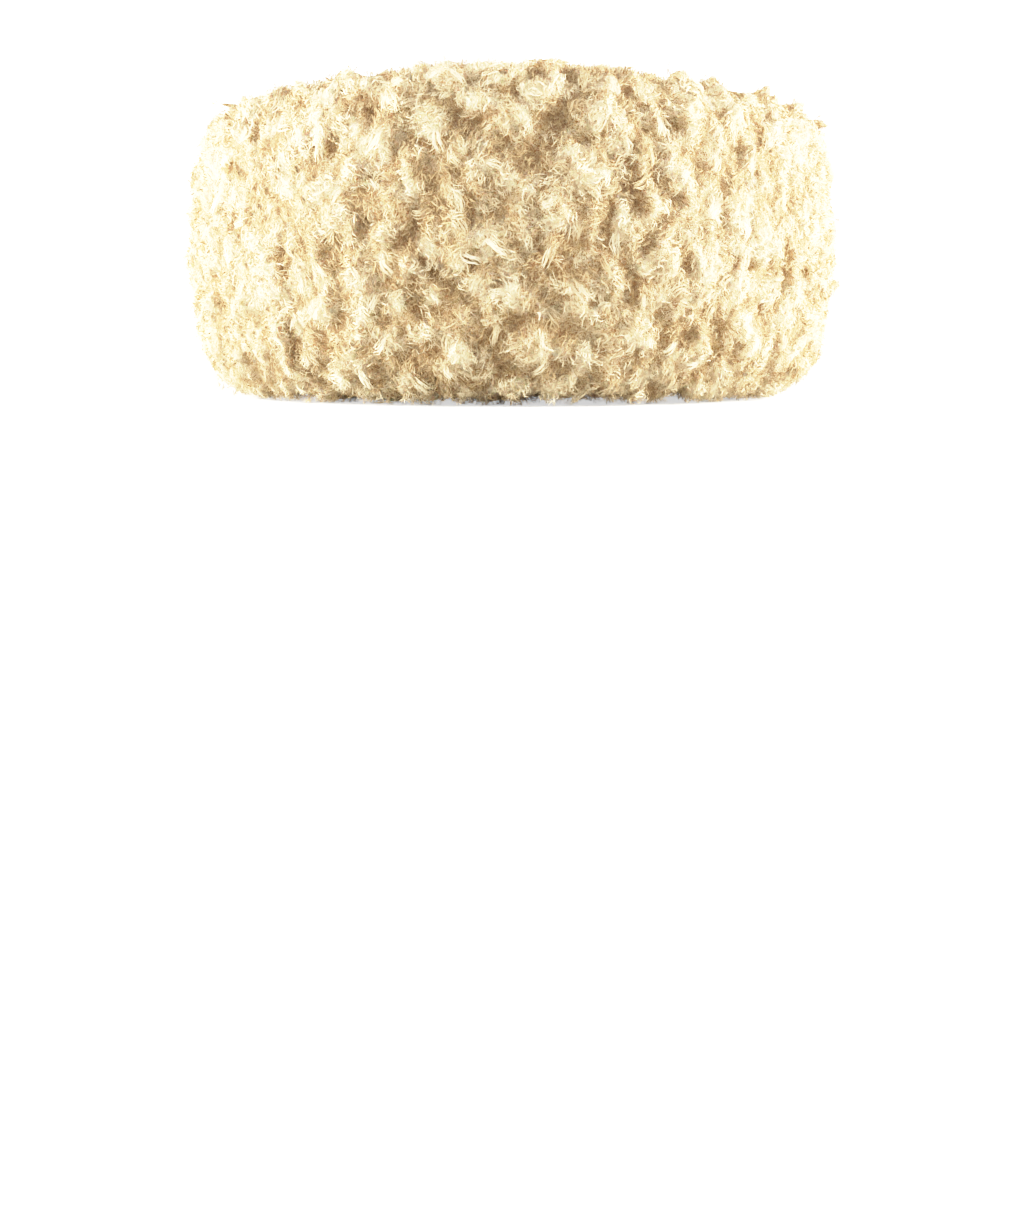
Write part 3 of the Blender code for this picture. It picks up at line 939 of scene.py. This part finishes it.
# The lights: a large warm softbox on each side that burns out the hat's edges, a small one high in front for
# its middle, and one for the backdrop. The picture's tones are true up to the middle and then held back more
# and more, so that the bright sides keep their shade.
HAT_MIDDLE = (0, 0, 0.055)
WARM = (1.0, 0.945, 0.775)
SIDE_PLACE = (0.95, -0.115, 0.24)  # of the right one, which the left one mirrors
SIDE_SIZE = 0.7
SIDE_POWER = 76
ROOM_LIGHT = 0.055  # what the white surroundings give to the hat
ROOM_SEEN = 3.0  # how bright they look themselves
WHITE_LEVEL = 2.0  # the light that is shown as pure white
TONES = (0.0, 0.0), (0.55, 0.55), (0.85, 0.77), (1.15, 0.88), (1.6, 0.955), (WHITE_LEVEL, 1.0)


def softbox(name, place, aim, size, power, colour=(1, 1, 1)):
    """A square area light at a place, facing a point."""
    lamp = bpy.data.lights.new(name, "AREA")
    lamp.color = colour
    lamp.shape, lamp.size, lamp.energy = "SQUARE", size, power
    holder = bare_object(name, lamp)
    holder.location = place
    facing = np.array(aim) - np.array(place)
    holder.rotation_euler = mathutils.Vector(facing).to_track_quat("-Z", "Y").to_euler()


for name, side in (("left_softbox", -1), ("right_softbox", 1)):
    softbox(name, (side * SIDE_PLACE[0], *SIDE_PLACE[1:]), HAT_MIDDLE, SIDE_SIZE, SIDE_POWER, WARM)
softbox("front_softbox", (0.0, -0.8, 1.2), HAT_MIDDLE, 0.30, 10)
softbox("backdrop_softbox", (0.0, 1.0, 1.0), (0, 2.0, 0.6), 1.2, 110)

world = bpy.data.worlds.new("studio")
world.use_nodes = True
seen = add(world.node_tree, "ShaderNodeLightPath").outputs["Is Camera Ray"]
seen = maths(world.node_tree, "MULTIPLY", seen, ROOM_SEEN)
sky = world.node_tree.nodes["Background"]
sky.inputs["Color"].default_value = (1, 1, 1, 1)
world.node_tree.links.new(maths(world.node_tree, "MAXIMUM", seen, ROOM_LIGHT), sky.inputs["Strength"])
bpy.context.scene.world = world

look = bpy.context.scene.view_settings
look.view_transform = "Standard"
look.use_curve_mapping = True
look.curve_mapping.white_level = (WHITE_LEVEL, WHITE_LEVEL, WHITE_LEVEL)
curve = look.curve_mapping.curves[3]
for _ in TONES[2:]:
    curve.points.new(0.5, 0.5)
for point, (light, shown) in zip(curve.points, TONES):
    point.location = (light / WHITE_LEVEL, shown)
look.curve_mapping.update()


# The camera: low in front of the hat, as near to the photograph's view from below as the floor allows.
# The lens and aim are worked out for an image as high as the photograph, with the hat as high in it as there.
CAMERA_DISTANCE = 0.492
CAMERA_HEIGHT = 0.014
IMAGE_HEIGHT = 1224  # in pixels
FOCAL_PIXELS = 1230
HAT_CENTRE_ROW = 250  # the row of the image where the hat's middle lies
SENSOR_HEIGHT = 24  # in millimetres
lens = bpy.data.cameras.new("camera")
lens.sensor_fit, lens.sensor_height = "VERTICAL", SENSOR_HEIGHT
lens.lens = SENSOR_HEIGHT * FOCAL_PIXELS / IMAGE_HEIGHT
lens.clip_start, lens.clip_end = 0.01, 20
camera = bare_object("camera", lens)
camera.location = (0, -CAMERA_DISTANCE, CAMERA_HEIGHT)
hat_rise = math.atan2(HAT_MIDDLE[2] - CAMERA_HEIGHT, CAMERA_DISTANCE)
pitch = hat_rise - math.atan2(IMAGE_HEIGHT / 2 - HAT_CENTRE_ROW, FOCAL_PIXELS)
camera.rotation_euler = (math.pi / 2 + pitch, 0, 0)
bpy.context.scene.camera = camera
